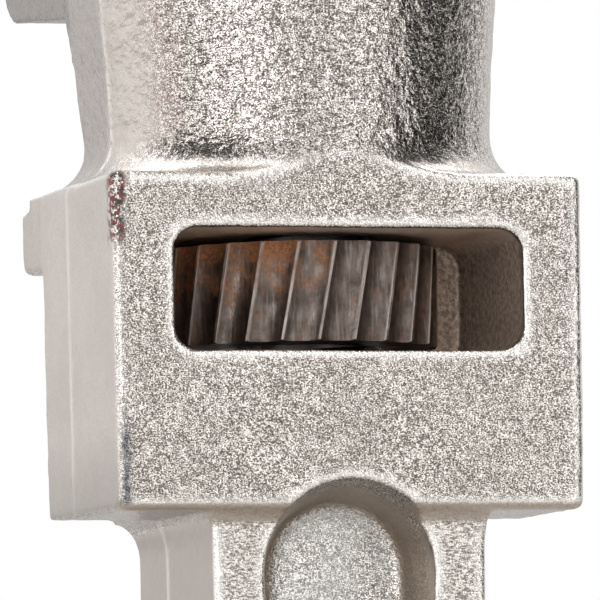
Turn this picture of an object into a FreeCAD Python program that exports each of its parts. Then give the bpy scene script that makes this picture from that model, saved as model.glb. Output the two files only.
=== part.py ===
import FreeCAD, Part
import math
import os

# Adjustable pipe wrench, 18 inch class: a one-piece cast handle and nut housing, a forged hook jaw
# on a threaded shank, a captive knurled nut, a pinned heel jaw, and the jaw's two return springs.
# Millimetres.  The geometry is worked out about the nut: X = Y = 0 is the nut's axis and Z = 0 the
# underside of the nut housing.  +X points at the spine, -X at the jaw opening, +Z at the jaws.
# SHIFT then moves every piece so that the origin is the centre of the hang hole.

V = FreeCAD.Vector

# Driving dimensions: nut housing
SPINE_X = 26.2              # spine face of the housing
FRONT_X = -13.0             # jaw-side face of the housing below the brow
BROW_X = -23.8              # jaw-side face of the brow over the thumb opening
BROW_Z = 35.0               # underside of the brow
BROW_DRAFT = 0.7            # rise of that underside towards the brow's edge
BROW_FALL = 2.0             # fall of the brow's top from the parting to its edge
UNDERSIDE_RISE = 0.7        # draft of the housing's underside on the jaw side
HOUSING_HALF = 33.5         # half width across the side faces, at the top
HOUSING_TAPER = 0.4         # loss of half width down to the underside
HOUSING_TOP = 46.2
HOUSING_ROUND = 1.3         # rounding of the cast edges
WINDOW_HALF = 24.8          # spine window, half width
WINDOW_Z = (21.8, 38.5)     # spine window, lower and upper edge
WINDOW_CORNER = 3.4
WINDOW_FLOOR_X = -3.0       # inner face of the jaw-side wall

# Nut and thread
NUT_R = 19.5
NUT_Z = (23.6, 37.4)
NUT_FLUTES = 24
NUT_FLUTE_R = 3.5
NUT_CREST = 0.34            # width of the land left on each crest
NUT_TWIST = 7.7             # degrees that the knurl turns over the nut's height
NUT_GAP = 0.8               # radial room between the nut and its cavity
NUT_CORE_R = 14.0           # the threaded core, inside the knurl
NUT_BEVEL = 0.5             # width of the bevel round each rim
NUT_BEVEL_Z = 0.35          # its height
LEAD_IN = 0.7               # widening of the thread's mouth, beyond the shank's crest
LEAD_IN_Z = 2.2             # its depth
PITCH = 4.2
THREAD_R = 10.8             # crest of the shank's thread
ROOT_R = 9.0                # root of the shank's thread
THREAD_GAP = 0.3            # radial room of the nut's thread
RIDGE_CREST = 1.0           # axial width of a ridge at its crest
RIDGE_ROOT = 2.6            # axial width of a ridge at its root
RIDGE_GAP = 0.30            # axial room each side of a ridge
RIDGE_SLOPE = (RIDGE_ROOT - RIDGE_CREST) / 2 / (THREAD_R - ROOT_R)

# Shank and its passage
SHANK_HALF = 7.5
SHANK_BOTTOM = -10.0
SHANK_TOP = 150.0           # where the shank ends inside the hook
SHANK_POINT = 6.0           # length of the pointed lower end
THREAD_TOP = 82.0
PASSAGE_HALF = 8.2
PASSAGE_X = (-11.6, 11.3)
CHANNEL_BOTTOM = -54.0      # end of the open channel for the shank in the handle

# Neck and heel-jaw seat
PARTING_X = 2.0             # casting's parting plane
NECK_BLEND = 6.4            # concave radius between neck and housing
NECK_SET_BACK = 0.6         # depth of the neck's crown behind the spine face
NECK_CROWN_BLEND = 0.5      # share of that radius that is left at the crown
NECK_BULGE_HALF = 14.0
NECK_BULGE = 3.0            # depth of the bulge on the jaw-side wall
NECK_BULGE_X = -19.0        # its least distance from the nut's axis
NECK_FOOT = (26.9, -13.2)   # half width and jaw-side wall, just above the blend
# Stations up the neck: z, half width in Y, X of the jaw-side wall
NECK = ((57.0, 27.1, -14.6),
        (63.0, 27.4, -16.0),
        (68.0, 27.9, -17.0),
        (73.0, 28.3, -18.2),
        (80.0, 28.7, -20.7),
        (104.0, 28.9, -21.2))
SEAT_HALF = 26.5
SEAT_TIP_X = -60.0
SEAT_ROOT_X = -12.0         # where the seat starts, inside the neck
SEAT_UNDER_Z = 70.9         # underside of the seat where it leaves the neck
SEAT_TOP = 86.0
SEAT_ROUND = 8.5
SEAT_SLOPE = math.tan(math.radians(5.5))
CHEEK_TOP = 94.0
CHEEK_BOTTOM = 80.0
CHEEK_ROOT_X = -16.0
CHEEK_TIP_X = -57.0
CHEEK_ROUND = 8.0           # rounding of the cheek's upper corner
CHEEK_FOOT_X = -50.0
CHEEK_IN = 19.0             # inner face of the cheeks beside the heel jaw
NECK_TOP_SPINE = 100.0
NECK_TOP_JAW = 90.0

# Jaws
HEEL_HALF = 18.6
HEEL_X = (-57.5, -22.0)
TEETH_Z = 100.0             # crest plane of the heel jaw's teeth
REST_OPENING = 36.0         # gap between the two sets of teeth
TOOTH_PITCH = 3.6
TOOTH_DEPTH = 1.7
PIN_R = 3.0
PIN_AT = (-40.0, 90.0)
HOOK_HALF = 13.0
HOOK_BASE_Z = 133.0         # above this the hook jaw is wider than its shank
HOOK_FLARE = 6.0            # height over which it widens
HOOK_NARROWING = 3.5        # loss of half width up to the hook's crown
HOOK_TIP_X = -60.0
HOOK_THROAT = 6.0           # concave radius between the teeth and the shank
# Back of the hook from the shank to the tip, as two arcs: (x, z)
HOOK_BACK = ((10.8, 144.0), (4.5, 160.0), (-10.0, 168.0), (-38.0, 166.0), (-60.0, 150.0))

# Springs
LEAF_THICK = 0.9
LEAF_HALF = 4.5
LEAF_Z = (53.0, 94.0)
LEAF_POCKET_X = 13.7
LEAF_CREST_X = 11.35
COIL_Z = 80.0
COIL_R = 2.7
COIL_WIRE_R = 0.5
COIL_PITCH = 1.7
COIL_POCKET_R = 4.0
COIL_POCKET_X = 20.5
RIVET_Z = 57.0
RIVET_R = 1.4
RIVET_HEAD_R = 2.4
RIVET_HEAD = 0.8            # thickness of its head
RIVET_END_X = 19.0

# Handle
HANDLE_MID_X = 6.4
HANDLE_LENGTH = 252.0       # housing underside to hang hole
HANDLE_SWELL = 1.8          # growth of the jaw-side face up to the housing
SWELL_LENGTH = 60.0
HANDLE_DRAFT = 0.5          # extra half width at the jaw-side face, and half of it less at the spine
ROOT_BLEND_Y = 3.4          # concave blend under the housing, sideways
ROOT_BLEND_Z = 4.9          # the same blend, along the handle
ROOT_BLEND_SPINE = 0.3      # share of it left at the spine face
ROOT_LEDGE = 1.2            # depth of the sloping ledge under the spine face
ROOT_LEDGE_Z = 1.4          # its height
EDGE_CUT = 0.6
# Stations down the handle: z, half width in Y, half depth in X, half width of the spine recess
HANDLE = ((0.0, 19.75, 17.6, 12.3),
          (-16.0, 19.6, 17.4, 12.0),
          (-60.0, 17.6, 16.2, 10.6),
          (-150.0, 15.4, 14.8, 9.4),
          (-HANDLE_LENGTH, 14.4, 15.6, 8.9))
RECESS_TOP_Z = -8.5         # centre of the spine recess's round end
RECESS_FLOOR_X = 14.5
RECESS_DRAFT = 2.3
WEB_HALF = 3.0              # half thickness of the web between the two recesses
RECESS_STEP_Z = (-52.0, -58.0, -86.0)  # the floor's fall to the web: at the face, the shelf, the web
FRONT_RECESS_TOP_Z = -24.0
HANG_HOLE_R = 5.5
FAR = 130.0                 # reach of a cutting shape past anything that it cuts

SHIFT = V(-HANDLE_MID_X, 0.0, HANDLE_LENGTH)


def box(x, y, z):
    """A box between the pairs x, y and z."""
    solid = Part.makeBox(x[1] - x[0], y[1] - y[0], z[1] - z[0])
    solid.translate(V(x[0], y[0], z[0]))
    return solid


def polygon_prism(points, half_width):
    """A closed outline of (x, z) points, extruded to both sides of Y = 0."""
    corners = [V(x, -half_width, z) for x, z in points]
    face = Part.Face(Part.makePolygon(corners + corners[:1]))
    return face.extrude(V(0, 2 * half_width, 0))


def edge_prism(edges, half_width):
    """A closed outline of edges in the XZ plane, extruded to both sides of Y = 0."""
    face = Part.Face(Part.Wire(edges))
    solid = face.extrude(V(0, 2 * half_width, 0))
    solid.translate(V(0, -half_width, 0))
    return solid


def line(a, b):
    return Part.LineSegment(V(a[0], 0, a[1]), V(b[0], 0, b[1])).toShape()


def arc(a, mid, b):
    return Part.Arc(V(a[0], 0, a[1]), V(mid[0], 0, mid[1]), V(b[0], 0, b[1])).toShape()


def clean(shape):
    """The single solid of a boolean's result."""
    return shape.removeSplitter().Solids[0]


# ---------------------------------------------------------------- handle and nut housing

def housing_block():
    """The rectangular nut housing with its brow; both mould halves draft away from the parting."""
    outline = ((SPINE_X, 0.0), (SPINE_X, HOUSING_TOP), (BROW_X, HOUSING_TOP),
               (BROW_X, BROW_Z + BROW_DRAFT), (FRONT_X, BROW_Z), (FRONT_X, 0.0))
    block = polygon_prism(outline, HOUSING_HALF + 2.0)
    foot = HOUSING_HALF - HOUSING_TAPER
    sides = [V(-60.0, y, z) for y, z in ((-foot, 0.0), (foot, 0.0), (HOUSING_HALF, HOUSING_TOP),
                                         (-HOUSING_HALF, HOUSING_TOP))]
    block = block.common(Part.Face(Part.makePolygon(sides + sides[:1])).extrude(V(120.0, 0, 0)))
    block = block.makeFillet(HOUSING_ROUND, block.Edges)
    top_draft = polygon_prism(((PARTING_X, HOUSING_TOP), (BROW_X, HOUSING_TOP - BROW_FALL),
                               (BROW_X - 5.0, HOUSING_TOP - BROW_FALL), (BROW_X - 5.0, HOUSING_TOP + 5.0),
                               (PARTING_X, HOUSING_TOP + 5.0)), 50.0)
    under_draft = polygon_prism(((PARTING_X, 0.0), (FRONT_X, UNDERSIDE_RISE), (FRONT_X - 5.0, UNDERSIDE_RISE),
                                 (FRONT_X - 5.0, -5.0), (PARTING_X, -5.0)), 50.0)
    return block.cut([top_draft, under_draft])


def neck_section(z, half_width, back_x, grow):
    """One D-shaped section: round towards the spine, flat sides, a bulged jaw-side wall."""
    width = half_width + grow
    depth = SPINE_X - NECK_SET_BACK - PARTING_X + NECK_CROWN_BLEND * grow
    steps = 12
    angles = [math.pi / 2 - math.pi * i / steps for i in range(steps + 1)]
    front = [V(PARTING_X + depth * math.cos(a), width * math.sin(a), z) for a in angles]
    curve = Part.BSplineCurve()
    curve.interpolate(front)
    bulge_x = min(back_x - NECK_BULGE, NECK_BULGE_X) - grow
    back = [V(PARTING_X, -width, z), V(back_x - grow, -width, z), V(bulge_x, -NECK_BULGE_HALF, z),
            V(bulge_x, NECK_BULGE_HALF, z), V(back_x - grow, width, z), V(PARTING_X, width, z)]
    sides = [Part.LineSegment(a, b).toShape() for a, b in zip(back, back[1:])]
    return Part.Wire([curve.toShape()] + sides)


def neck():
    """The neck, flared upwards, with a concave blend into the housing's flat top."""
    steps = 7
    half, back = NECK_FOOT
    sections = []
    for i in range(steps):
        turn = math.pi / 2 * i / steps
        rise = NECK_BLEND * (1 - math.cos(turn))
        grow = NECK_BLEND * (1 - math.sin(turn))
        sections.append(neck_section(HOUSING_TOP + rise, half, back, grow))
    sections.append(neck_section(HOUSING_TOP + NECK_BLEND, half, back, 0.0))
    sections += [neck_section(z, half, back, 0.0) for z, half, back in NECK]
    body = Part.makeLoft(sections, True, True)
    foot = sections[0].copy()
    plug = Part.Face(foot).extrude(V(0, 0, -HOUSING_ROUND - 1.0))
    body = body.fuse(plug)
    room = box((-FAR, SPINE_X), (-HOUSING_HALF, HOUSING_HALF), (HOUSING_TOP - 4.0, FAR))
    top = polygon_prism(((-40.0, NECK_TOP_JAW), (FRONT_X, NECK_TOP_JAW), (SPINE_X - 6.0, NECK_TOP_SPINE),
                         (40.0, NECK_TOP_SPINE - 12.0), (40.0, FAR), (-40.0, FAR)), 40.0)
    return body.common(room).cut(top)


def heel_seat():
    """The bracket under the heel jaw, with a cheek on each side of it."""
    under_x = SEAT_TIP_X + SEAT_ROUND
    under_z = SEAT_UNDER_Z + SEAT_SLOPE * (SEAT_ROOT_X - under_x)
    root_x = SEAT_ROOT_X
    over_z = SEAT_TOP + 1.0
    corner = (SEAT_TIP_X + 0.28 * SEAT_ROUND, under_z + 0.30 * SEAT_ROUND)
    tip = (SEAT_TIP_X, under_z + SEAT_ROUND)
    seat = edge_prism([line((root_x, SEAT_UNDER_Z), (under_x, under_z)),
                       arc((under_x, under_z), corner, tip),
                       line(tip, (SEAT_TIP_X, over_z)),
                       line((SEAT_TIP_X, over_z), (root_x, over_z)),
                       line((root_x, over_z), (root_x, SEAT_UNDER_Z))], SEAT_HALF)
    shoulder = (CHEEK_TIP_X, SEAT_TOP)
    crown = (CHEEK_TIP_X + CHEEK_ROUND, CHEEK_TOP)
    between = (CHEEK_TIP_X + 0.3 * CHEEK_ROUND, CHEEK_TOP - 0.3 * CHEEK_ROUND)
    cheeks = edge_prism([line((CHEEK_ROOT_X, CHEEK_BOTTOM), (CHEEK_FOOT_X, CHEEK_BOTTOM)),
                         line((CHEEK_FOOT_X, CHEEK_BOTTOM), shoulder),
                         arc(shoulder, between, crown),
                         line(crown, (CHEEK_ROOT_X, CHEEK_TOP)),
                         line((CHEEK_ROOT_X, CHEEK_TOP), (CHEEK_ROOT_X, CHEEK_BOTTOM))], SEAT_HALF)
    return seat.fuse(cheeks)


def heel_bed():
    """The flat bed of the heel jaw, open at the top and at the tip."""
    return box((-FAR, HEEL_X[1] + 0.4), (-CHEEK_IN, CHEEK_IN), (SEAT_TOP, FAR))


def handle_section(z, half_y, half_x, grow_y=0.0, grow_x=0.0):
    """A rectangle with its corners taken off; grow_x widens it towards the spine only."""
    x0 = HANDLE_MID_X - half_x - HANDLE_SWELL * max(0.0, 1 + z / SWELL_LENGTH)
    x1 = HANDLE_MID_X + half_x + grow_x
    y0 = half_y + HANDLE_DRAFT + grow_y
    y1 = half_y - HANDLE_DRAFT / 2 + ROOT_BLEND_SPINE * grow_y
    c = EDGE_CUT
    points = [(x0 + c, -y0), (x1 - c, -y1), (x1, -y1 + c), (x1, y1 - c),
              (x1 - c, y1), (x0 + c, y0), (x0, y0 - c), (x0, -y0 + c)]
    corners = [V(x, y, z) for x, y in points]
    return Part.makePolygon(corners + corners[:1])


def handle_at(z):
    """Half width, half depth and recess half width at height z, between the stations."""
    for upper, lower in zip(HANDLE, HANDLE[1:]):
        if z >= lower[0]:
            t = (upper[0] - z) / (upper[0] - lower[0])
            return [a + (b - a) * t for a, b in zip(upper[1:], lower[1:])]
    return list(HANDLE[-1][1:])


def handle_bar():
    """The tapered bar from the housing's underside to the round end at the hang hole."""
    sections = []
    steps = 6
    for i in range(steps + 1):
        turn = math.pi / 2 * i / steps
        z = -ROOT_BLEND_Z * (1 - math.cos(turn))
        fade = 1 - math.sin(turn)
        half_y, half_x, recess = handle_at(z)
        ledge = ROOT_LEDGE * max(0.0, 1 + z / ROOT_LEDGE_Z)
        sections.append(handle_section(z, half_y, half_x, ROOT_BLEND_Y * fade, ledge))
    sections += [handle_section(z, half_y, half_x) for z, half_y, half_x, recess in HANDLE[1:]]
    bar = Part.makeLoft(sections, True, True)
    root = Part.Face(sections[0].copy()).extrude(V(0, 0, HOUSING_ROUND + 2.0))
    root = root.common(box((FRONT_X, SPINE_X - HOUSING_ROUND), (-40.0, 40.0), (-1.0, 10.0)))
    half_y, half_x = HANDLE[-1][1:3]
    end = Part.makeCylinder(half_y, 2 * half_x, V(HANDLE_MID_X - half_x, 0, -HANDLE_LENGTH), V(1, 0, 0))
    end = end.makeChamfer(EDGE_CUT, [e for e in end.Edges if isinstance(e.Curve, Part.Circle)])
    return bar.fuse([root, end])


def recess_outline(x, inset, top_z, top_half):
    """The long round-ended outline of a handle recess in the plane X = x."""
    rows = [(top_z, top_half - inset)]
    rows += [(z, recess - inset) for z, half_y, half_x, recess in HANDLE if z < top_z]
    edges = []
    top, half = rows[0]
    edges.append(Part.Arc(V(x, half, top), V(x, 0, top + half), V(x, -half, top)).toShape())
    for (z0, h0), (z1, h1) in zip(rows, rows[1:]):
        edges.append(Part.LineSegment(V(x, -h0, z0), V(x, -h1, z1)).toShape())
    end, half = rows[-1]
    edges.append(Part.Arc(V(x, -half, end), V(x, 0, end - half), V(x, half, end)).toShape())
    for (z0, h0), (z1, h1) in reversed(list(zip(rows, rows[1:]))):
        edges.append(Part.LineSegment(V(x, h1, z1), V(x, h0, z0)).toShape())
    return Part.Wire(edges)


def spine_recess():
    """Drafted recess in the spine face; its floor drops to the web below the shank's channel."""
    outside = 2.0
    shallow = Part.makeLoft([recess_outline(SPINE_X + outside, -0.9, RECESS_TOP_Z, HANDLE[0][3]),
                             recess_outline(RECESS_FLOOR_X, RECESS_DRAFT, RECESS_TOP_Z,
                                            HANDLE[0][3])], True, True)
    web_x = HANDLE_MID_X + WEB_HALF
    deep = Part.makeLoft([recess_outline(RECESS_FLOOR_X + 1.0, RECESS_DRAFT, RECESS_TOP_Z, HANDLE[0][3]),
                          recess_outline(web_x, RECESS_DRAFT + 0.9, RECESS_TOP_Z, HANDLE[0][3])],
                         True, True)
    at_face, at_shelf, at_web = RECESS_STEP_Z
    below = -HANDLE_LENGTH - FAR
    ramp = polygon_prism(((SPINE_X, at_face), (RECESS_FLOOR_X, at_shelf), (web_x, at_web),
                          (web_x - 1.0, below), (SPINE_X, below)), 30.0)
    return shallow.fuse(deep.common(ramp))


def front_recess():
    """Drafted recess in the jaw-side face, down to the web."""
    top_half = handle_at(FRONT_RECESS_TOP_Z)[2]
    face_x = HANDLE_MID_X - HANDLE[0][2] - 2.0
    web_x = HANDLE_MID_X - WEB_HALF
    return Part.makeLoft([recess_outline(face_x, -0.6, FRONT_RECESS_TOP_Z, top_half),
                          recess_outline(web_x, RECESS_DRAFT, FRONT_RECESS_TOP_Z, top_half)],
                         True, True)


def shank_passage():
    """Slot for the shank through neck and housing, open on the jaw side below the nut."""
    slot = box(PASSAGE_X, (-PASSAGE_HALF, PASSAGE_HALF), (-5.0, FAR))
    channel = polygon_prism(((-20.0, HOUSING_TOP - 10.0), (PASSAGE_X[0] - 2.0, -4.0), (-20.0, -4.0),
                             (-20.0, CHANNEL_BOTTOM - 10.0), (0.0, CHANNEL_BOTTOM - 10.0),
                             (PASSAGE_X[1], CHANNEL_BOTTOM), (PASSAGE_X[1], 0.0),
                             (0.0, HOUSING_TOP - 10.0)), PASSAGE_HALF)
    return slot.fuse(channel)


def nut_room():
    """The spine window and the round cavity in which the nut turns."""
    window = box((WINDOW_FLOOR_X, SPINE_X + 2.0), (-WINDOW_HALF, WINDOW_HALF), WINDOW_Z)
    along_x = [e for e in window.Edges if abs(e.tangentAt(e.FirstParameter).x) > 0.9]
    window = window.makeFillet(WINDOW_CORNER, along_x)
    cavity = Part.makeCylinder(NUT_R + NUT_GAP, WINDOW_Z[1] - WINDOW_Z[0], V(0, 0, WINDOW_Z[0]))
    return window.fuse(cavity)


def spring_pockets():
    """Pocket for the flat spring, blind hole for the coil spring, hole for the rivet."""
    leaf = box((0.0, LEAF_POCKET_X), (-LEAF_HALF - 0.5, LEAF_HALF + 0.5),
               (LEAF_Z[0] - 1.0, LEAF_Z[1] + 1.0))
    coil = Part.makeCylinder(COIL_POCKET_R, COIL_POCKET_X, V(0, 0, COIL_Z), V(1, 0, 0))
    rivet = Part.makeCylinder(RIVET_R, RIVET_END_X, V(0, 0, RIVET_Z), V(1, 0, 0))
    return leaf.fuse([coil, rivet])


def heel_pin_hole():
    return Part.makeCylinder(PIN_R, 80.0, V(PIN_AT[0], -40.0, PIN_AT[1]), V(0, 1, 0))


def handle_housing():
    body = housing_block().fuse([neck(), heel_seat(), handle_bar()])
    hole = Part.makeCylinder(HANG_HOLE_R, 60.0, V(-20.0, 0, -HANDLE_LENGTH), V(1, 0, 0))
    cuts = [shank_passage(), nut_room(), heel_bed(), spring_pockets(), heel_pin_hole(),
            spine_recess(), front_recess(), hole]
    for cut in cuts:
        body = body.cut(cut)
    return clean(body)


# ---------------------------------------------------------------- nut and hook jaw

def knurl_section(z, turn):
    """The nut's outline: concave flutes that meet in narrow crests."""
    step = 2 * math.pi / NUT_FLUTES
    half_crest = NUT_CREST / NUT_R / 2
    chord = NUT_R * math.sin(step / 2 - half_crest)
    centre_r = NUT_R * math.cos(step / 2 - half_crest) + math.sqrt(NUT_FLUTE_R ** 2 - chord ** 2)
    bottom_r = centre_r - NUT_FLUTE_R

    def at(radius, angle):
        return V(radius * math.cos(angle), radius * math.sin(angle), z)

    edges = []
    for i in range(NUT_FLUTES):
        a = turn + i * step
        start = at(NUT_R, a - step / 2 + half_crest)
        end = at(NUT_R, a + step / 2 - half_crest)
        following = at(NUT_R, a + step / 2 + half_crest)
        edges.append(Part.Arc(start, at(bottom_r, a), end).toShape())
        edges.append(Part.LineSegment(end, following).toShape())
    return Part.Wire(edges)


def adjusting_nut():
    slices = 4
    height = NUT_Z[1] - NUT_Z[0]
    sections = [knurl_section(NUT_Z[0] + height * i / slices, math.radians(NUT_TWIST) * (i / slices))
                for i in range(slices + 1)]
    body = Part.makeLoft(sections, True, True)
    low, high = NUT_Z
    rim_r = NUT_R + 0.25
    face_r = rim_r - NUT_BEVEL
    profile = [V(0, 0, low), V(face_r, 0, low), V(rim_r, 0, low + NUT_BEVEL_Z),
               V(rim_r, 0, high - NUT_BEVEL_Z), V(face_r, 0, high), V(0, 0, high)]
    turned = Part.Face(Part.makePolygon(profile + profile[:1])).revolve(V(), V(0, 0, 1), 360)
    knurl = body.common(turned)
    core = Part.makeCylinder(NUT_CORE_R, height, V(0, 0, NUT_Z[0]))
    bore_r = ROOT_R + THREAD_GAP
    sleeve = core.cut(Part.makeCylinder(bore_r, height + 4, V(0, 0, NUT_Z[0] - 2)))
    inner_r = bore_r - 0.4
    outer_r = THREAD_R + THREAD_GAP
    half_outer = RIDGE_CREST / 2 + RIDGE_GAP
    half_inner = half_outer + RIDGE_SLOPE * (outer_r - inner_r)
    groove = thread_sweep(inner_r, outer_r, half_inner, half_outer, thread_phase(),
                          height + 2 * PITCH)
    sleeve = sleeve.cut(groove)
    for z, towards in ((NUT_Z[0], 1), (NUT_Z[1], -1)):
        lead_in = Part.makeCone(THREAD_R + LEAD_IN, bore_r, LEAD_IN_Z, V(0, 0, z), V(0, 0, towards))
        sleeve = sleeve.cut(lead_in)
    return clean(knurl.cut(core).fuse(sleeve))


def thread_phase():
    """Height, on the +X side, of the first thread turn below the nut."""
    return NUT_Z[0] - PITCH


def thread_sweep(inner_r, outer_r, half_inner, half_outer, start_z, height):
    """A right-hand helical ridge of trapezoid section, from inner_r out to outer_r."""
    corners = [V(inner_r, 0, start_z - half_inner), V(outer_r, 0, start_z - half_outer),
               V(outer_r, 0, start_z + half_outer), V(inner_r, 0, start_z + half_inner)]
    helix = Part.makeHelix(PITCH, height, inner_r)
    helix.translate(V(0, 0, start_z))
    return Part.Wire(helix.Edges).makePipeShell([Part.makePolygon(corners + corners[:1])], True, True)


def shank_groove():
    """The space between the turns of the shank's thread, in step with the nut's."""
    turns_below = int((thread_phase() - SHANK_BOTTOM) / PITCH) + 2
    first = thread_phase() - (turns_below + 0.5) * PITCH
    outer_r = THREAD_R + 0.4
    half_inner = (PITCH - RIDGE_ROOT) / 2
    half_outer = half_inner + RIDGE_SLOPE * (outer_r - ROOT_R)
    return thread_sweep(ROOT_R, outer_r, half_inner, half_outer, first, THREAD_TOP - first)


def tooth_row(x_from, x_to, z, down):
    """Points of a row of raked teeth whose crests lie in the plane z."""
    count = int(round((x_to - x_from) / TOOTH_PITCH))
    step = (x_to - x_from) / count
    root = z + (-TOOTH_DEPTH if down else TOOTH_DEPTH)
    points = []
    for i in range(count):
        x = x_from + i * step
        crest = x + step * (0.30 if down else 0.70)
        points += [(x, root), (crest, z)]
    points.append((x_to, root))
    return points


def hook_taper():
    """The room that the hook's two sides leave: shank width at its base, then flared outwards."""
    flare_z = HOOK_BASE_Z + HOOK_FLARE
    outline = [V(0, y, z) for y, z in
               ((-SHANK_HALF, HOOK_BASE_Z - 10.0), (SHANK_HALF, HOOK_BASE_Z - 10.0),
                (SHANK_HALF, HOOK_BASE_Z), (HOOK_HALF, flare_z), (HOOK_HALF, flare_z + 20.0),
                (HOOK_HALF - HOOK_NARROWING, flare_z + 50.0), (HOOK_NARROWING - HOOK_HALF, flare_z + 50.0),
                (-HOOK_HALF, flare_z + 20.0), (-HOOK_HALF, flare_z), (-SHANK_HALF, HOOK_BASE_Z))]
    spine_side = Part.Face(Part.makePolygon(outline + outline[:1])).extrude(V(40.0, 0, 0))
    spine_side.translate(V(-THREAD_R - HOOK_FLARE, 0, 0))
    jaw_side = box((-80.0, -THREAD_R - HOOK_FLARE), (-HOOK_HALF, HOOK_HALF),
                   (HOOK_BASE_Z - 10.0, flare_z + 50.0))
    return spine_side.fuse(jaw_side)


def hook_jaw():
    teeth_z = TEETH_Z + REST_OPENING
    slab = box((-ROOT_R - 4.0, ROOT_R + 4.0), (-SHANK_HALF, SHANK_HALF), (SHANK_BOTTOM, SHANK_TOP))
    bar = Part.makeCylinder(THREAD_R, SHANK_TOP - SHANK_BOTTOM, V(0, 0, SHANK_BOTTOM))
    shank = bar.common(slab).cut(shank_groove().common(slab))
    point = Part.makeCone(ROOT_R - 1.5, THREAD_R + 3.0, SHANK_POINT, V(0, 0, SHANK_BOTTOM), V(0, 0, 1))
    point = point.fuse(Part.makeCylinder(THREAD_R + 3.0, 170.0, V(0, 0, SHANK_BOTTOM + SHANK_POINT)))
    shank = shank.common(point)

    back = THREAD_R
    tip_x = HOOK_TIP_X
    inner_x = -THREAD_R
    throat = HOOK_THROAT
    heel, shoulder, crown, brow, nose = HOOK_BACK
    outline = [line((back, HOOK_BASE_Z), heel),
               arc(heel, shoulder, crown),
               arc(crown, brow, nose),
               line(nose, (tip_x, teeth_z + 4.0))]
    teeth = tooth_row(tip_x + 2.0, inner_x - throat, teeth_z, False)
    chain = [(tip_x, teeth_z + 4.0)] + teeth
    outline += [line(a, b) for a, b in zip(chain, chain[1:])]
    last = teeth[-1]
    bend = 0.293 * throat
    outline += [arc(last, (inner_x - bend, last[1] - bend), (inner_x, last[1] - throat)),
                line((inner_x, last[1] - throat), (inner_x, HOOK_BASE_Z - 3.0)),
                line((inner_x, HOOK_BASE_Z - 3.0), (back, HOOK_BASE_Z - 3.0)),
                line((back, HOOK_BASE_Z - 3.0), (back, HOOK_BASE_Z))]
    head = edge_prism(outline, HOOK_HALF).common(hook_taper())
    return clean(shank.fuse(head))


# ---------------------------------------------------------------- heel jaw, pin and springs

def heel_jaw():
    gap = 0.05
    x0, x1 = HEEL_X
    row = tooth_row(x0 + 1.0, x1 - 1.0, TEETH_Z, True)
    points = [(x0, SEAT_TOP + gap), (x0, TEETH_Z - 4.0)] + row + [(x1, TEETH_Z - 4.0), (x1, SEAT_TOP + gap)]
    body = polygon_prism(points, HEEL_HALF)
    return clean(body.cut(heel_pin_hole()))


def heel_jaw_pin():
    length = 2 * SEAT_HALF - 0.6
    pin = Part.makeCylinder(PIN_R, length, V(PIN_AT[0], -length / 2, PIN_AT[1]), V(0, 1, 0))
    return pin.makeChamfer(0.5, [e for e in pin.Edges if isinstance(e.Curve, Part.Circle)])


def flat_spring():
    seat_x = LEAF_POCKET_X - LEAF_THICK
    flat_top = LEAF_Z[0] + 8.0
    crest_z = COIL_Z
    front = [line((seat_x, LEAF_Z[0]), (seat_x, flat_top)),
             arc((seat_x, flat_top), (LEAF_CREST_X, crest_z), (seat_x - 0.6, LEAF_Z[1]))]
    back = [line((seat_x - 0.6, LEAF_Z[1]), (LEAF_POCKET_X - 0.6, LEAF_Z[1])),
            arc((LEAF_POCKET_X - 0.6, LEAF_Z[1]), (LEAF_CREST_X + LEAF_THICK, crest_z),
                (LEAF_POCKET_X, flat_top)),
            line((LEAF_POCKET_X, flat_top), (LEAF_POCKET_X, LEAF_Z[0])),
            line((LEAF_POCKET_X, LEAF_Z[0]), (seat_x, LEAF_Z[0]))]
    leaf = edge_prism(front + back, LEAF_HALF)
    hole = Part.makeCylinder(RIVET_R, 10.0, V(8.0, 0, RIVET_Z), V(1, 0, 0))
    return clean(leaf.cut(hole))


def flat_spring_rivet():
    seat_x = LEAF_POCKET_X - LEAF_THICK
    head = Part.makeCylinder(RIVET_HEAD_R, RIVET_HEAD, V(seat_x - RIVET_HEAD, 0, RIVET_Z), V(1, 0, 0))
    body = Part.makeCylinder(RIVET_R, RIVET_END_X - seat_x, V(seat_x, 0, RIVET_Z), V(1, 0, 0))
    return clean(head.fuse(body))


def coil_spring():
    start_x = LEAF_CREST_X + LEAF_THICK + COIL_WIRE_R + 0.15
    length = COIL_POCKET_X - COIL_WIRE_R - 0.1 - start_x
    helix = Part.makeHelix(COIL_PITCH, length, COIL_R)
    section = Part.Wire(Part.Circle(V(COIL_R, 0, 0), V(0, 1, 0), COIL_WIRE_R).toShape())
    coil = Part.Wire(helix.Edges).makePipeShell([section], True, True)
    coil = Part.Solid(coil) if not coil.Solids else coil.Solids[0]
    coil.rotate(V(), V(0, 1, 0), 90)
    coil.translate(V(start_x, 0, COIL_Z))
    return coil


PIECES = {
    "handle_housing": handle_housing,
    "hook_jaw": hook_jaw,
    "adjusting_nut": adjusting_nut,
    "heel_jaw": heel_jaw,
    "heel_jaw_pin": heel_jaw_pin,
    "flat_spring": flat_spring,
    "flat_spring_rivet": flat_spring_rivet,
    "coil_spring": coil_spring,
}

os.makedirs("parts", exist_ok=True)
for name, make in PIECES.items():
    shape = make()
    shape.translate(SHIFT)
    print(name, "valid", shape.isValid(), "solids", len(shape.Solids), "mm3", round(shape.Volume))
    shape.exportStep("parts/" + name + ".step")
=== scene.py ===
import math

import bpy
import numpy as np
from mathutils import Matrix, Vector


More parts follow.
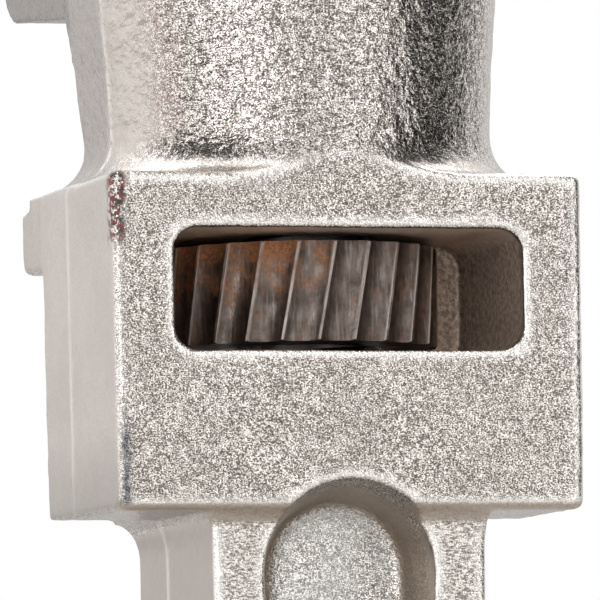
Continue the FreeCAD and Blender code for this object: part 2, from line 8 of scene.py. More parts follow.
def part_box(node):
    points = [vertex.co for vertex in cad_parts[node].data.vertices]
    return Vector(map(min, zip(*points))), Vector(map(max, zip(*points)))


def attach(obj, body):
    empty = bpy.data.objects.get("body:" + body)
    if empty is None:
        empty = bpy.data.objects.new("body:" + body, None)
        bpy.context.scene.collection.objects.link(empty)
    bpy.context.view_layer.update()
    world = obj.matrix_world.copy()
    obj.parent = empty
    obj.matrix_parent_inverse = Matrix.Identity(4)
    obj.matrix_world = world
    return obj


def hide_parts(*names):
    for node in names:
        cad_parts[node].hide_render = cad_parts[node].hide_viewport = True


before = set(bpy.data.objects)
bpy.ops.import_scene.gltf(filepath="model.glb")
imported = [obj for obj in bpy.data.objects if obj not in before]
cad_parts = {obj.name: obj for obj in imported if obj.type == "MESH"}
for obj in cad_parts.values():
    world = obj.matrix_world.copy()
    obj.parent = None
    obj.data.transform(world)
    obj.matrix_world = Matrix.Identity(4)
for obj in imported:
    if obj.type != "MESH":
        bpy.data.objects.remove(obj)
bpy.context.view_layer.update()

MM = 0.001

# The nut housing, from the nut's and the casting's boxes
nut_low, nut_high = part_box("adjusting_nut")
casting_low, casting_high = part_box("handle_housing")
AXIS_X = (nut_low.x + nut_high.x) / 2
NUT_HEIGHT = 23.6 * MM       # the nut's lower face above the housing's underside
UNDERSIDE_Z = nut_low.z - NUT_HEIGHT
SPINE_X = casting_high.x
HOUSING_HALF = casting_high.y
HOUSING_TOP = 46.2           # above the underside, mm
PARTING_X = AXIS_X + 2.0 * MM
WINDOW_HALF = 24.8 * MM
WINDOW_Z = (UNDERSIDE_Z + 21.8 * MM, UNDERSIDE_Z + 38.5 * MM)
WINDOW_LIP = 0.8 * MM

# The shank's passage and channel, and the handle's spine recess: extents for the masks
PASSAGE_HALF = 8.6           # mm
PASSAGE_REACH = 12.6 * MM
CHANNEL_END = -50.0          # above the underside, mm
RECESS_HALF = 12.6 * MM
RECESS_TOP = 5.5 * MM

# Camera
VIEW_AZIMUTH = 73.9
VIEW_ELEVATION = -4.39
VIEW_ROLL = 1.06
VIEW_DISTANCE = 1.2
VIEW_LENS = 517.6
VIEW_SENSOR = 36.0
VIEW_AIM = Vector((AXIS_X, 0.38 * MM, UNDERSIDE_Z + 30.63 * MM))

# Casting mesh
WELD = 0.001 * MM
VOXEL = 0.4 * MM
SMOOTH_STEPS = 2
RECESS_STEPS = 90
EDGE_STEPS = 14              # more steps find wider rounded edges
CASTING_TRIANGLES = 195_000  # most triangles the casting keeps after decimating; over 200,000 the STL would be decimated again
UNEVEN = ((7.0, 0.07), (2.6, 0.05), (1.1, 0.04))    # size and height of the faces' waves, mm
UNEVEN_SINK = 0.04
SEAM_WIDTH = 0.46            # parting ridge, mm
SEAM_HEIGHT = 0.22
SEAM_WANDER = 0.25
SEAM_GLINT = 0.62            # width of its brighter band: lighter ground finish with a painted highlight

# Floor
FLOOR_HALF = 3.0
FLOOR_COLOR = (0.62, 0.61, 0.60, 1)


# ---------------------------------------------------------------- camera, floor and light

def make_camera():
    data = bpy.data.cameras.new("camera")
    data.lens = VIEW_LENS
    data.sensor_width = VIEW_SENSOR
    data.clip_start = 0.01
    data.clip_end = 60.0
    camera = bpy.data.objects.new("camera", data)
    bpy.context.scene.collection.objects.link(camera)
    a = math.radians(VIEW_AZIMUTH)
    e = math.radians(VIEW_ELEVATION)
    back = Vector((math.sin(a) * math.cos(e), -math.cos(a) * math.cos(e), math.sin(e)))
    turn = (-back).to_track_quat("-Z", "Y").to_matrix().to_4x4()
    roll = Matrix.Rotation(math.radians(-VIEW_ROLL), 4, "Z")
    camera.matrix_world = Matrix.Translation(VIEW_AIM + back * VIEW_DISTANCE) @ turn @ roll
    bpy.context.scene.camera = camera


def make_floor():
    half, z = FLOOR_HALF, casting_low.z
    corners = [(-half, -half, z), (half, -half, z), (half, half, z), (-half, half, z)]
    mesh = bpy.data.meshes.new("floor")
    mesh.from_pydata(corners, [], [(0, 1, 2, 3)])
    floor = bpy.data.objects.new("floor", mesh)
    bpy.context.scene.collection.objects.link(floor)
    mat = bpy.data.materials.new("floor")
    mat.use_nodes = True
    shader = mat.node_tree.nodes["Principled BSDF"]
    shader.inputs["Base Color"].default_value = FLOOR_COLOR
    shader.inputs["Roughness"].default_value = 0.7
    mesh.materials.append(mat)


# The studio's brightness round the object: degrees to the right of the camera, then brightness
STUDIO_ROUND = ((-180, 0.38), (-164, 0.44), (-146, 0.60), (-106, 0.76), (-84, 0.78), (-68, 0.98),
                (-52, 0.94), (-38, 1.00), (-28, 1.80), (-18, 2.20), (-8, 1.28), (3, 0.46), (14, 0.34),
                (27, 0.90), (40, 1.22), (54, 0.74), (64, 0.36), (76, 0.0), (96, 0.0), (114, 0.26),
                (132, 0.58), (155, 0.56), (180, 0.38))
STUDIO_GAIN = 1.5
# Factors on it by height, in degrees above the horizon, on the camera's side and behind the object
HEIGHT_FRONT = ((-90, 0.40), (-40, 0.45), (-14, 0.85), (0, 1.0), (12, 1.0), (30, 0.86), (50, 0.76),
                (68, 1.05), (90, 1.8))
HEIGHT_BACK = ((-90, 0.35), (-40, 0.38), (-12, 0.85), (0, 1.0), (25, 1.2), (60, 2.6), (90, 2.4))
BEHIND = ((-180, 1.0), (-115, 1.0), (-75, 0.0), (75, 0.0), (115, 1.0), (180, 1.0))
# A dark gap between the left softbox and the ceiling: its depth round the object and by height
GAP_ROUND = ((-180, 0.0), (-90, 0.0), (-70, 1.0), (-24, 1.0), (-6, 0.0), (180, 0.0))
GAP_HEIGHT = ((-90, 0.0), (14, 0.0), (24, 0.95), (56, 0.95), (70, 0.0), (90, 0.0))


def make_world():
    """Studio light from all round for the object, and plain white for the camera to see."""
    world = bpy.data.worlds.new("studio")
    bpy.context.scene.world = world
    world.use_nodes = True
    tree = world.node_tree
    nodes, link = tree.nodes, tree.links.new
    nodes.clear()

    def math_node(kind, a, b=None):
        node = nodes.new("ShaderNodeMath")
        node.operation = kind
        for socket, value in zip(node.inputs, (a, b)):
            if isinstance(value, (int, float)):
                socket.default_value = value
            elif value is not None:
                link(value, socket)
        return node.outputs[0]

    def ramp(stops, low, high, factor):
        """The value between stops that factor, 0 at low and 1 at high, falls on."""
        node = nodes.new("ShaderNodeValToRGB")
        elements = node.color_ramp.elements
        peak = max(v for _, v in stops)
        while len(elements) < len(stops):
            elements.new(0.5)
        for element, (x, value) in zip(elements, stops):
            element.position = (x - low) / (high - low)
            element.color = (value / peak,) * 3 + (1,)
        link(factor, node.inputs["Fac"])
        return math_node("MULTIPLY", node.outputs["Color"], peak)

    coordinate = nodes.new("ShaderNodeTexCoord")
    axes = nodes.new("ShaderNodeSeparateXYZ")
    link(coordinate.outputs["Generated"], axes.inputs[0])
    a = math.radians(VIEW_AZIMUTH)
    ahead = math_node("ADD", math_node("MULTIPLY", axes.outputs["X"], math.sin(a)),
                      math_node("MULTIPLY", axes.outputs["Y"], -math.cos(a)))
    right = math_node("ADD", math_node("MULTIPLY", axes.outputs["X"], math.cos(a)),
                      math_node("MULTIPLY", axes.outputs["Y"], math.sin(a)))
    turn = math_node("DIVIDE", math_node("ARCTAN2", right, ahead), 2 * math.pi)
    around = math_node("ADD", turn, 0.5)
    rise = math_node("DIVIDE", math_node("ARCSINE", axes.outputs["Z"]), math.pi)
    height = math_node("ADD", rise, 0.5)
    behind = ramp(BEHIND, -180, 180, around)
    in_front = math_node("SUBTRACT", 1.0, behind)
    front = math_node("MULTIPLY", ramp(HEIGHT_FRONT, -90, 90, height), in_front)
    back = math_node("MULTIPLY", ramp(HEIGHT_BACK, -90, 90, height), behind)
    light = math_node("MULTIPLY", ramp(STUDIO_ROUND, -180, 180, around), math_node("ADD", front, back))
    gap = math_node("MULTIPLY", ramp(GAP_ROUND, -180, 180, around), ramp(GAP_HEIGHT, -90, 90, height))
    gain = math_node("MULTIPLY", math_node("SUBTRACT", 1.0, gap), STUDIO_GAIN)
    light = math_node("MULTIPLY", light, gain)
    studio = nodes.new("ShaderNodeBackground")
    studio.inputs["Color"].default_value = (1, 1, 1, 1)
    link(light, studio.inputs["Strength"])
    plain = nodes.new("ShaderNodeBackground")
    plain.inputs["Color"].default_value = (1, 1, 1, 1)
    plain.inputs["Strength"].default_value = 1.0
    path = nodes.new("ShaderNodeLightPath")
    mix = nodes.new("ShaderNodeMixShader")
    link(path.outputs["Is Camera Ray"], mix.inputs[0])
    link(studio.outputs[0], mix.inputs[1])
    link(plain.outputs[0], mix.inputs[2])
    output = nodes.new("ShaderNodeOutputWorld")
    link(mix.outputs[0], output.inputs["Surface"])


def softbox(name, right_of_camera, height, distance, width, length, power):
    """An area light at an angle round from the camera and above the horizon, facing the housing."""
    data = bpy.data.lights.new(name, "AREA")
    data.shape = "RECTANGLE"
    data.size = width
    data.size_y = length
    data.energy = power
    light = bpy.data.objects.new(name, data)
    bpy.context.scene.collection.objects.link(light)
    a = math.radians(VIEW_AZIMUTH + right_of_camera)
    e = math.radians(height)
    away = Vector((math.sin(a) * math.cos(e), -math.cos(a) * math.cos(e), math.sin(e)))
    light.matrix_world = (Matrix.Translation(VIEW_AIM + away * distance)
                          @ away.to_track_quat("Z", "Y").to_matrix().to_4x4())


# ---------------------------------------------------------------- mesh helpers

# Large odd numbers that mix a lattice corner's three indices and a seed into one random-looking key
HASH_X, HASH_Y, HASH_Z = 73856093, 19349663, 83492791
HASH_SEED, HASH_MIX = 374761393, 1274126177
HASH_MASK = 0x7FFFFFFF


def lattice_noise(points, cell, seed):
    """Smooth random values in -1..1 at points, one random value per lattice corner."""
    at = points / cell
    base = np.floor(at).astype(np.int64)
    t = at - base
    t = t * t * (3 - 2 * t)
    total = np.zeros(len(points))
    for dx in (0, 1):
        for dy in (0, 1):
            for dz in (0, 1):
                cx, cy, cz = (base + (dx, dy, dz)).T
                key = (cx * HASH_X) ^ (cy * HASH_Y) ^ (cz * HASH_Z)
                key = (key + seed * HASH_SEED) & HASH_MASK
                key = ((key ^ (key >> 13)) * HASH_MIX) & HASH_MASK
                value = (key ^ (key >> 16)) / (HASH_MASK // 2) - 1.0
                weight = np.where(dx, t[:, 0], 1 - t[:, 0])
                weight = weight * np.where(dy, t[:, 1], 1 - t[:, 1])
                weight = weight * np.where(dz, t[:, 2], 1 - t[:, 2])
                total += weight * value
    return total


def get_points(mesh):
    points = np.empty(len(mesh.vertices) * 3, np.float32)
    mesh.vertices.foreach_get("co", points)
    return points.reshape(-1, 3).astype(float)


def get_normals(mesh):
    normals = np.empty(len(mesh.vertices) * 3, np.float32)
    mesh.vertices.foreach_get("normal", normals)
    return normals.reshape(-1, 3).astype(float)


def set_points(mesh, points):
    mesh.vertices.foreach_set("co", points.astype(np.float32).ravel())
    mesh.update()


def relax(mesh, steps, share=0.5):
    """Moves each vertex by share towards the mean of its neighbours, which rounds every edge."""
    edges = np.empty(len(mesh.edges) * 2, np.int32)
    mesh.edges.foreach_get("vertices", edges)
    a, b = edges.reshape(-1, 2).T
    count = len(mesh.vertices)
    degree = np.bincount(a, minlength=count) + np.bincount(b, minlength=count)
    points = get_points(mesh)
    for _ in range(steps):
        mean = np.empty_like(points)
        for axis in range(3):
            mean[:, axis] = (np.bincount(a, points[b, axis], count)
                             + np.bincount(b, points[a, axis], count)) / degree
        points += share * (mean - points)
    set_points(mesh, points)


def baked(obj, modifiers):
    """obj's mesh after modifiers, given as (type, settings) pairs."""
    for kind, settings in modifiers:
        modifier = obj.modifiers.new(kind.lower(), kind)
        for key, value in settings.items():
            setattr(modifier, key, value)
    graph = bpy.context.evaluated_depsgraph_get()
    mesh = bpy.data.meshes.new_from_object(obj.evaluated_get(graph))
    obj.modifiers.clear()
    obj.data = mesh
    return mesh


def new_piece(name, mesh):
    piece = bpy.data.objects.new(name, mesh)
    bpy.context.scene.collection.objects.link(piece)
    return piece


def ramp01(values, low, high):
    """0 below low, 1 above high, smooth between."""
    t = np.clip((values - low) / (high - low), 0, 1)
    return t * t * (3 - 2 * t)


def fall01(values, low, high):
    """1 below low, 0 above high, smooth between."""
    return 1 - ramp01(values, low, high)


def set_mask(mesh, name, values):
    attribute = mesh.attributes.new(name, "FLOAT", "POINT")
    attribute.data.foreach_set("value", values.astype(np.float32))


# ---------------------------------------------------------------- materials

class Nodes:
    """Short forms for building a material's node tree."""

    def __init__(self, name):
        self.material = bpy.data.materials.new(name)
        self.material.use_nodes = True
        self.tree = self.material.node_tree
        self.shader = self.tree.nodes["Principled BSDF"]
        self.place = self.tree.nodes.new("ShaderNodeTexCoord").outputs["Object"]

    def feed(self, socket, value):
        if isinstance(value, bpy.types.NodeSocket):
            self.tree.links.new(value, socket)
        elif isinstance(value, tuple) and len(value) == 3 and socket.type == "RGBA":
            socket.default_value = value + (1,)
        else:
            socket.default_value = value

    def math(self, kind, a, b=0.0, clamp=False):
        node = self.tree.nodes.new("ShaderNodeMath")
        node.operation = kind
        node.use_clamp = clamp
        self.feed(node.inputs[0], a)
        self.feed(node.inputs[1], b)
        return node.outputs[0]

    def times(self, a, b):
        return self.math("MULTIPLY", a, b)

    def plus(self, a, b):
        return self.math("ADD", a, b)

    def minus(self, a, b):
        return self.math("SUBTRACT", a, b)

    def without(self, mask, share):
        """1 off the mask, 1 - share on it."""
        return self.minus(1.0, self.times(mask, share))

    def noise(self, size, detail=2.0, roughness=0.5, stretch=(1, 1, 1), seed=0.0):
        """Noise whose features are about size metres, longer along an axis where stretch is more."""
        mapping = self.tree.nodes.new("ShaderNodeMapping")
        mapping.inputs["Location"].default_value = (seed, seed * 1.7, seed * 2.3)
        mapping.inputs["Scale"].default_value = tuple(1 / s for s in stretch)
        self.feed(mapping.inputs["Vector"], self.place)
        node = self.tree.nodes.new("ShaderNodeTexNoise")
        node.inputs["Scale"].default_value = 0.5 / size
        node.inputs["Detail"].default_value = detail
        node.inputs["Roughness"].default_value = roughness
        self.feed(node.inputs["Vector"], mapping.outputs[0])
        return node.outputs["Fac"]

    def remap(self, value, low, high, to_low=0.0, to_high=1.0):
        node = self.tree.nodes.new("ShaderNodeMapRange")
        node.inputs["From Min"].default_value = low
        node.inputs["From Max"].default_value = high
        node.inputs["To Min"].default_value = to_low
        node.inputs["To Max"].default_value = to_high
        self.feed(node.inputs["Value"], value)
        return node.outputs["Result"]

    def mix(self, factor, a, b):
        """Colour a to colour b by factor."""
        node = self.tree.nodes.new("ShaderNodeMix")
        node.data_type = "RGBA"
        self.feed(node.inputs[0], factor)
        self.feed(node.inputs[6], a)
        self.feed(node.inputs[7], b)
        return node.outputs[2]

    def mask(self, name):
        node = self.tree.nodes.new("ShaderNodeAttribute")
        node.attribute_name = name
        return node.outputs["Fac"]

    def bump(self, height, depth, strength=1.0, under=None):
        node = self.tree.nodes.new("ShaderNodeBump")
        node.inputs["Distance"].default_value = depth
        self.feed(node.inputs["Strength"], strength)
        self.feed(node.inputs["Height"], height)
        if under is not None:
            self.feed(node.inputs["Normal"], under)
        return node.outputs[0]

    def finish(self, color, roughness, normal=None, metallic=1.0):
        self.feed(self.shader.inputs["Base Color"], color)
        self.feed(self.shader.inputs["Roughness"], roughness)
        self.feed(self.shader.inputs["Metallic"], metallic)
        if normal is not None:
            self.feed(self.shader.inputs["Normal"], normal)
        return self.material


# Linear colours of the casting
SMOOTH_LIGHT, SMOOTH_DARK = (0.61, 0.553, 0.51), (0.56, 0.503, 0.458)
# Painted sparkle on the grain's crests, painted shade in its pits
GRAIN_CREST_SPARKLE, GRAIN_PIT_SHADE = (1.0, 0.945, 0.885), (0.14, 0.118, 0.102)
FACE_STAIN = (0.20, 0.175, 0.155)
FLANGE_GREY = (0.46, 0.42, 0.39)
BLEND_METAL = (0.56, 0.515, 0.475)
HANDLE_SIDE = (0.40, 0.355, 0.318)
# Lighter ground finish on the parting line, with a painted highlight on its ridge
SEAM_FINISH_AND_HIGHLIGHT = (0.86, 0.81, 0.76)
# Painted highlight on rounded edges
EDGE_HIGHLIGHT = (1.0, 0.96, 0.91)
# Painted shade under the lip
SEAT_SHADE = (0.25, 0.222, 0.203)
# Painted shade on the low sides and down-facing faces
FOOT_SHADE = (0.30, 0.265, 0.24)
SHADE_GREY = (0.30, 0.262, 0.247)
DULL_BROWN = (0.47, 0.395, 0.33)
HOLLOW_LIGHT, HOLLOW_DARK = (0.70, 0.56, 0.465), (0.36, 0.285, 0.23)
CEILING_BROWN = (0.86, 0.68, 0.55)
FLOOR_GREY = (0.52, 0.53, 0.505)
SCUFF_DARK, SCUFF_LIGHT = (0.075, 0.078, 0.085), (0.30, 0.295, 0.30)
BLUSH_RED = (0.42, 0.25, 0.22)
FLECK_RED, FLECK_BLACK = (0.20, 0.045, 0.04), (0.05, 0.04, 0.04)


def casting_material():
    """Blasted casting: fine bright grain with painted sparkle on the crests and painted shade in the
    pits, painted highlights on edges and seam, painted shade under the lip and round the foot, linished
    sides, brown in the hollows, worn red flecks.
    """
    n = Nodes("casting")
    side = n.mask("side")
    hollow = n.mask("hollow")
    dull = n.mask("dull")
    flange = n.mask("flange")
    neck = n.mask("neck")
    blend = n.mask("blend")
    flecked = n.mask("fleck")
    grain = n.noise(0.088 * MM, 1.0, 0.5, stretch=(1.4, 1.4, 1))
    grit = n.noise(0.33 * MM, 2.0, 0.5, seed=3.0)
    ridges = n.noise(0.30 * MM, 1.0, 0.5, stretch=(2.2, 2.2, 1), seed=23.0)
    drift = n.noise(0.9 * MM, 2.0, 0.6, stretch=(1.5, 1.5, 1), seed=15.0)
    scores = n.noise(0.13 * MM, 1.0, 0.5, stretch=(1, 3, 1), seed=6.0)
    hammered = n.noise(0.8 * MM, 2.0, 0.5, stretch=(1.3, 1.3, 1), seed=8.0)
    waves = n.noise(1.6 * MM, 2.0, 0.5, seed=7.0)
    pitted = n.noise(0.42 * MM, 3.0, 0.6, seed=19.0)
    brush = n.noise(0.13 * MM, 2.0, 0.6, stretch=(1, 1, 14), seed=5.0)
    cloud = n.noise(6.0 * MM, 3.0, 0.6, seed=11.0)
    spots = n.noise(0.42 * MM, 3.0, 0.7, seed=13.0)
    red_or_black = n.noise(0.5 * MM, 1.0, 0.5, seed=17.0)
    blotches = n.noise(0.2 * MM, 2.0, 0.6, seed=21.0)

    # The grain's height, which also sets how bright each speck is: painted sparkle on the crests,
    # painted shade in the pits
    coarse = n.times(n.without(side, 0.93), n.without(hollow, 0.5))
    relief = n.plus(n.times(grain, 0.74), n.times(grit, 0.26))
    relief = n.plus(relief, n.times(n.minus(scores, 0.46), n.times(flange, 0.65)))
    relief = n.plus(relief, n.times(n.minus(drift, 0.5), 0.05))
    relief = n.plus(relief, n.times(n.minus(ridges, 0.5), n.remap(neck, 0.0, 1.0, 0.08, 0.20)))
    spark = n.math("POWER", n.remap(relief, 0.41, 0.60), 1.35)

    # Bare metal
    smooth_metal = n.mix(n.remap(cloud, 0.38, 0.64), SMOOTH_LIGHT, SMOOTH_DARK)
    # Grain colour: the metal's own grain, with painted sparkle on the crests and painted shade in the
    # pits
    grain_sparkle_and_shade = n.mix(spark, GRAIN_PIT_SHADE, GRAIN_CREST_SPARKLE)
    stained = n.times(n.mask("face"), n.remap(cloud, 0.35, 0.65, 0.05, 0.22))
    grain_sparkle_and_shade = n.mix(stained, grain_sparkle_and_shade, FACE_STAIN)
    grain_sparkle_and_shade = n.mix(n.times(flange, 0.35), grain_sparkle_and_shade, FLANGE_GREY)
    grain_sparkle_and_shade = n.mix(n.times(blend, 0.55), grain_sparkle_and_shade, BLEND_METAL)
    color = n.mix(coarse, smooth_metal, grain_sparkle_and_shade)
    color = n.mix(n.times(n.mask("handle"), n.times(side, 0.75)), color, HANDLE_SIDE)
    # Lighter ground finish on the parting line, with a painted highlight on its ridge
    color = n.mix(n.times(n.mask("seam"), 0.6), color, SEAM_FINISH_AND_HIGHLIGHT)
    # Painted highlight on rounded edges that face the light, weaker down the housing's left edge and
    # among the flecks
    edge_highlight = n.times(n.mask("edge_highlight"), n.remap(relief, 0.36, 0.52, 0.55, 1.0))
    edge_highlight = n.times(edge_highlight, n.times(n.without(n.mask("less_left_highlight"), 0.55), n.without(flecked, 0.6)))
    color = n.mix(edge_highlight, color, EDGE_HIGHLIGHT)

    # Painted shade, and darker and browner places
    # Painted shade on the seat under the lip
    color = n.mix(n.times(n.mask("seat_shade"), 0.9), color, SEAT_SHADE)
    # Painted shade on the low sides and down-facing faces near the foot
    color = n.mix(n.times(n.mask("foot_shade"), 0.55), color, FOOT_SHADE)
    color = n.mix(n.times(n.mask("shade"), 0.55), color, SHADE_GREY)
    color = n.mix(n.times(dull, n.remap(cloud, 0.3, 0.7, 0.65, 0.95)), color, DULL_BROWN)
    brown = n.mix(n.remap(pitted, 0.40, 0.60), HOLLOW_LIGHT, HOLLOW_DARK)
    color = n.mix(n.times(hollow, n.remap(cloud, 0.3, 0.7, 0.85, 1.0)), color, brown)
    color = n.mix(n.times(n.mask("ceiling"), 0.6), color, CEILING_BROWN)
    haze = n.times(n.mask("recess_floor"), n.remap(cloud, 0.4, 0.6, 0.15, 0.5))
    color = n.mix(haze, color, FLOOR_GREY)
    scuff = n.times(n.mask("scuff"), n.remap(drift, 0.35, 0.6, 0.55, 0.95))
    color = n.mix(scuff, color, n.mix(spark, SCUFF_DARK, SCUFF_LIGHT))
    blush = n.times(n.mask("blush"), n.remap(blotches, 0.54, 0.62))
    color = n.mix(n.times(blush, 0.7), color, BLUSH_RED)
    fleck = n.times(flecked, n.remap(spots, 0.455, 0.49))
    color = n.mix(fleck, color, n.mix(n.remap(red_or_black, 0.48, 0.54), FLECK_RED, FLECK_BLACK))

    rough = n.plus(0.24, n.times(side, 0.08))
    rough = n.plus(rough, n.times(hollow, 0.20))
    rough = n.minus(rough, n.times(neck, 0.06))
    rough = n.plus(rough, n.times(dull, 0.18))
    rough = n.plus(rough, n.remap(relief, 0.3, 0.7, 0.05, -0.05))

    normal = n.bump(waves, 0.25 * MM, 0.5)
    normal = n.bump(hammered, 0.50 * MM, n.times(neck, 0.8), normal)
    gritty = n.times(coarse, n.without(blend, 0.6))
    normal = n.bump(grit, 0.14 * MM, gritty, normal)
    normal = n.bump(pitted, 0.22 * MM, n.times(hollow, 0.8), normal)
    normal = n.bump(grain, 0.04 * MM, gritty, normal)
    normal = n.bump(scores, 0.08 * MM, flange, normal)
    normal = n.bump(brush, 0.03 * MM, n.times(side, 0.5), normal)
    metallic = n.math("SUBTRACT", 1.0, n.plus(fleck, n.times(hollow, 0.35)), clamp=True)
    return n.finish(color, rough, normal, metallic)


# Linear colours of the nut
NUT_LIGHT, NUT_DARK = (0.20, 0.165, 0.147), (0.10, 0.077, 0.066)
NUT_STREAK = (0.35, 0.302, 0.272)
NUT_WEAR = (0.50, 0.445, 0.41)
RUST_ORANGE, RUST_BROWN = (0.42, 0.17, 0.06), (0.22, 0.10, 0.05)


def nut_material():
    """Dark worn steel: bright crests, grime in the flutes, orange rust round one side's upper edge."""
    n = Nodes("nut_steel")
    axes = n.tree.nodes.new("ShaderNodeSeparateXYZ")
    n.feed(axes.inputs[0], n.place)
    x, y, z = axes.outputs
    dx = n.minus(x, AXIS_X)
    radius = n.math("SQRT", n.plus(n.times(dx, dx), n.times(y, y)))
    crest = n.remap(radius, nut_high.y - 0.22 * MM, nut_high.y - 0.04 * MM)
    stain = n.noise(1.6 * MM, 4.0, 0.6, seed=2.0)
    streak = n.noise(0.25 * MM, 3.0, 0.6, stretch=(1, 1, 10), seed=4.0)
    specks = n.noise(0.22 * MM, 2.0, 0.6, seed=6.0)
    patches = n.noise(1.5 * MM, 5.0, 0.7, seed=9.0)
    upper = n.remap(z, nut_low.z + 4.0 * MM, nut_high.z)
    rusty_side = n.remap(y, 3.0 * MM, -9.0 * MM)
    color = n.mix(n.remap(stain, 0.36, 0.66), NUT_LIGHT, NUT_DARK)
    color = n.mix(n.remap(streak, 0.50, 0.72, 0.0, 0.55), color, NUT_STREAK)
    rust_place = n.plus(patches, n.times(n.times(upper, rusty_side), 0.34))
    rust = n.remap(rust_place, 0.57, 0.80, 0.0, 0.95)
    color = n.mix(rust, color, n.mix(n.remap(specks, 0.4, 0.6), RUST_ORANGE, RUST_BROWN))
    color = n.mix(n.times(crest, n.remap(stain, 0.38, 0.60, 0.25, 0.9)), color, NUT_WEAR)
    metallic = n.without(rust, 0.8)
    rough = n.plus(n.remap(stain, 0.35, 0.65, 0.34, 0.50), n.times(rust, 0.25))
    normal = n.bump(stain, 0.15 * MM, 0.5)
    normal = n.bump(streak, 0.10 * MM, 0.6, normal)
    normal = n.bump(specks, 0.08 * MM, 0.5, normal)
    return n.finish(color, rough, normal, metallic)


def steel_material(name, color, dark, rough, brush_stretch):
    """Machined or forged steel with tool marks and stains."""
    n = Nodes(name)
    stain = n.noise(2.5 * MM, 4.0, 0.6, seed=2.0)
    lines = n.noise(0.12 * MM, 2.0, 0.6, stretch=brush_stretch, seed=4.0)
    base = n.mix(n.remap(stain, 0.38, 0.66), color, dark)
    roughness = n.plus(rough, n.remap(stain, 0.35, 0.65, -0.05, 0.10))
    normal = n.bump(stain, 0.10 * MM, 0.5)
    normal = n.bump(lines, 0.05 * MM, 0.6, normal)
    return n.finish(base, roughness, normal)


# ---------------------------------------------------------------- pieces

def in_spine_recess(points):
    """1 well inside the handle's spine recess, 0 outside it."""
    x, y, z = points.T
    depth = SPINE_X - x
    above = z - UNDERSIDE_Z
    return (ramp01(depth, 3.2 * MM, 5.5 * MM) * (x > PARTING_X) * (np.abs(y) < RECESS_HALF)
            * (above < RECESS_TOP))


def make_casting():
    """The handle and housing with rounded cast edges, a parting line and slightly uneven faces."""
    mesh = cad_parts["handle_housing"].data.copy()
    piece = new_piece("casting", mesh)
    mesh = baked(piece, (("WELD", {"merge_threshold": WELD}),
                         ("REMESH", {"mode": "VOXEL", "voxel_size": VOXEL, "adaptivity": 0.0})))
    relax(mesh, SMOOTH_STEPS)
    relax(mesh, RECESS_STEPS, 0.5 * in_spine_recess(get_points(mesh))[:, None])
    points = get_points(mesh)
    normals = get_normals(mesh)
    relax(mesh, EDGE_STEPS)
    stands_out = np.einsum("ij,ij->i", points - get_points(mesh), normals)
    # Painted highlight: rounded edges that stand out and face the light
    facing_light = ramp01(normals[:, 0] + normals[:, 2], 0.2, 0.7)
    set_mask(mesh, "edge_highlight", facing_light * ramp01(stands_out, 0.015 * MM, 0.11 * MM))

    waves = sum(height * lattice_noise(points, size * MM, seed)
                for seed, (size, height) in enumerate(UNEVEN, 1))
    wander = SEAM_WANDER * MM * lattice_noise(points, 9.0 * MM, 4)
    seam = np.exp(-((points[:, 0] - PARTING_X - wander) / (SEAM_WIDTH * MM)) ** 2)
    seam *= ramp01(np.abs(normals[:, 1]), 0.5, 0.8) * (0.75 + 0.35 * lattice_noise(points, 5.0 * MM, 5))
    inset = ramp01(HOUSING_HALF - np.abs(points[:, 1]), 0.1 * MM, 0.6 * MM)
    lift = waves - UNEVEN_SINK + SEAM_HEIGHT * seam * (0.4 + 0.6 * inset)
    set_points(mesh, points + normals * (lift * MM)[:, None])
    triangles = 2 * len(mesh.polygons)
    if triangles > CASTING_TRIANGLES:
        mesh = baked(piece, (("DECIMATE", {"ratio": CASTING_TRIANGLES / triangles}),))
    set_points(mesh, np.clip(get_points(mesh), casting_low, casting_high))
    mesh.shade_smooth()
    casting_masks(mesh)
    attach(piece, "root")
    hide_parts("handle_housing")
    mesh.materials.clear()
    mesh.materials.append(casting_material())


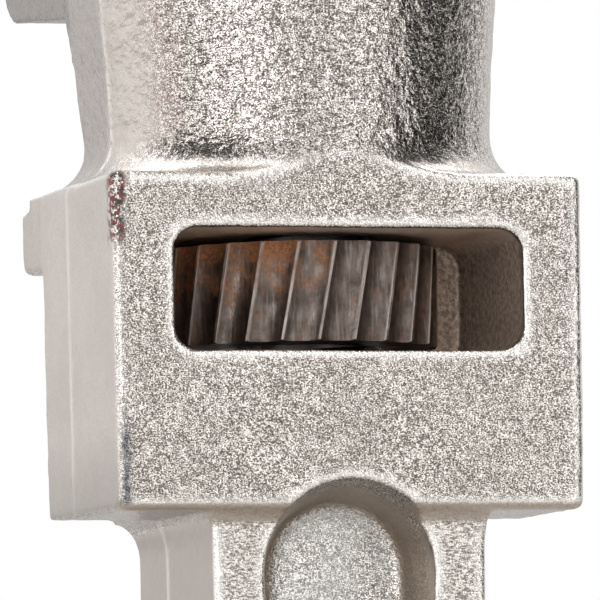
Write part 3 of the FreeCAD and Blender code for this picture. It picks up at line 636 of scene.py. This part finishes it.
def casting_masks(mesh):
    """Where the casting's finish changes and where light and shade are painted.  above, depth, left and
    behind_parting are millimetres.
    """
    points = get_points(mesh)
    normals = get_normals(mesh)
    x, y, z = points.T
    facing, upwards = normals[:, 0], normals[:, 2]
    sideways = np.abs(normals[:, 1])
    above = (z - UNDERSIDE_Z) / MM
    depth = (SPINE_X - x) / MM
    left = -y / MM
    behind_parting = (PARTING_X - x) / MM

    side = ramp01(sideways, 0.72, 0.95)
    down = ramp01(-upwards, 0.2, 0.7)
    in_window = (ramp01(depth, 0.5, 1.8) * (np.abs(y) < WINDOW_HALF + WINDOW_LIP)
                 * (z > WINDOW_Z[0] - WINDOW_LIP) * (z < WINDOW_Z[1] + WINDOW_LIP))
    in_passage = ((np.abs(left) < PASSAGE_HALF) * (np.abs(x - AXIS_X) < PASSAGE_REACH)
                  * (above > CHANNEL_END))
    inside = np.maximum(in_window, in_passage)
    recess = in_spine_recess(points)
    # Painted shade: the seat under the lip
    seat_shade = ramp01(above, 68.0, 70.0) * ramp01(depth, 40.0, 42.0)
    recess_wall = recess * fall01(facing, 0.55, 0.93)
    ledge = ((above > -1.6) * (above < 0.9) * ramp01(-upwards, 0.25, 0.5)
             * (depth < 3.0) * (depth > 0.1))
    brow = (depth > 39.2) * (above > 33) * (above < HOUSING_TOP + 0.3)
    neck_back = ramp01(above, 46.5, 49.0) * ramp01(behind_parting, 0.6, 2.0) * (1 - seat_shade)
    left_bevel = ramp01(left, 30.9, 31.6) * fall01(left, 32.5, 33.0) * ramp01(facing, 0.6, 0.9)
    fleck_left = ramp01(left, 31.2 - 0.4 * (above > 44), 31.9)

    masks = {
        # Finish of the metal
        "side": side * (1 - inside) * (1 - recess),
        "face": ramp01(facing, 0.9, 0.99) * (depth < 0.7),
        "flange": (above < -1.2) * (depth < 3.4) * ramp01(facing, 0.8, 0.95),
        "handle": ramp01(-above, 0.5, 3.0),
        "neck": ramp01(above, 47.0, 52.0),
        "blend": ramp01(above, 45.9, 46.4) * fall01(above, 50.0, 54.0) * ramp01(upwards, 0.30, 0.65),
        # seam: lighter ground finish along the parting line, with a painted highlight on its ridge
        "seam": np.exp(-(behind_parting / SEAM_GLINT) ** 2) * ramp01(sideways, 0.5, 0.8),
        # Hollows
        "hollow": np.clip(inside, 0, 1),
        "ceiling": in_window * ramp01(-upwards, 0.5, 0.9),
        "recess_floor": recess * ramp01(facing, 0.75, 0.95),
        "dull": np.clip(recess_wall + ledge, 0, 1),
        # Painted shade on outer places
        "seat_shade": seat_shade,
        # Painted shade on the low sides and down-facing faces near the foot
        "foot_shade": (above > -1.0) * fall01(above, 0.0, 14.0) * np.maximum(side, down) * (1 - inside),
        "shade": (neck_back + 0.4 * brow) * side,
        # Less painted highlight down the housing's left edge; its worn lower bevel and flecks; the
        # reddish line down the neck's left
        "less_left_highlight": (left > 0) * ramp01(left, 30.5, 31.5) * (above > -1) * (above < 44.5) * (depth < 2.5),
        "scuff": left_bevel * ramp01(above, 0.4, 1.4) * fall01(above, 9.0, 16.0) * (depth < 1.6),
        "fleck": ramp01(above, 35.0, 38.0) * (above < 46.8) * fleck_left * fall01(depth, 1.8, 2.6),
        "blush": (ramp01(above, 50.0, 54.0) * (left > 0) * ramp01(sideways, 0.66, 0.76)
                  * fall01(sideways, 0.80, 0.90)),
    }
    for name, values in masks.items():
        set_mask(mesh, name, values)


def dress_nodes():
    """Materials of the machined and forged pieces, which keep their CAD shapes."""
    forged = steel_material("forged_steel", (0.16, 0.15, 0.145), (0.075, 0.07, 0.068),
                            rough=0.42, brush_stretch=(1, 1, 1))
    nut = nut_material()
    pin = steel_material("pin_steel", (0.50, 0.48, 0.46), (0.33, 0.31, 0.30),
                         rough=0.33, brush_stretch=(1, 1, 1))
    spring = steel_material("spring_steel", (0.12, 0.12, 0.13), (0.06, 0.06, 0.07),
                            rough=0.35, brush_stretch=(1, 1, 6))
    chosen = {"hook_jaw": forged, "heel_jaw": forged, "adjusting_nut": nut, "heel_jaw_pin": pin,
              "flat_spring_rivet": pin, "flat_spring": spring, "coil_spring": spring}
    for name, material in chosen.items():
        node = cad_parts[name]
        node.data.materials.clear()
        node.data.materials.append(material)


make_camera()
make_floor()
make_world()
softbox("top", right_of_camera=180, height=62, distance=0.9, width=0.8, length=0.5, power=3.0)
bpy.context.scene.view_settings.view_transform = "Standard"

make_casting()
dress_nodes()
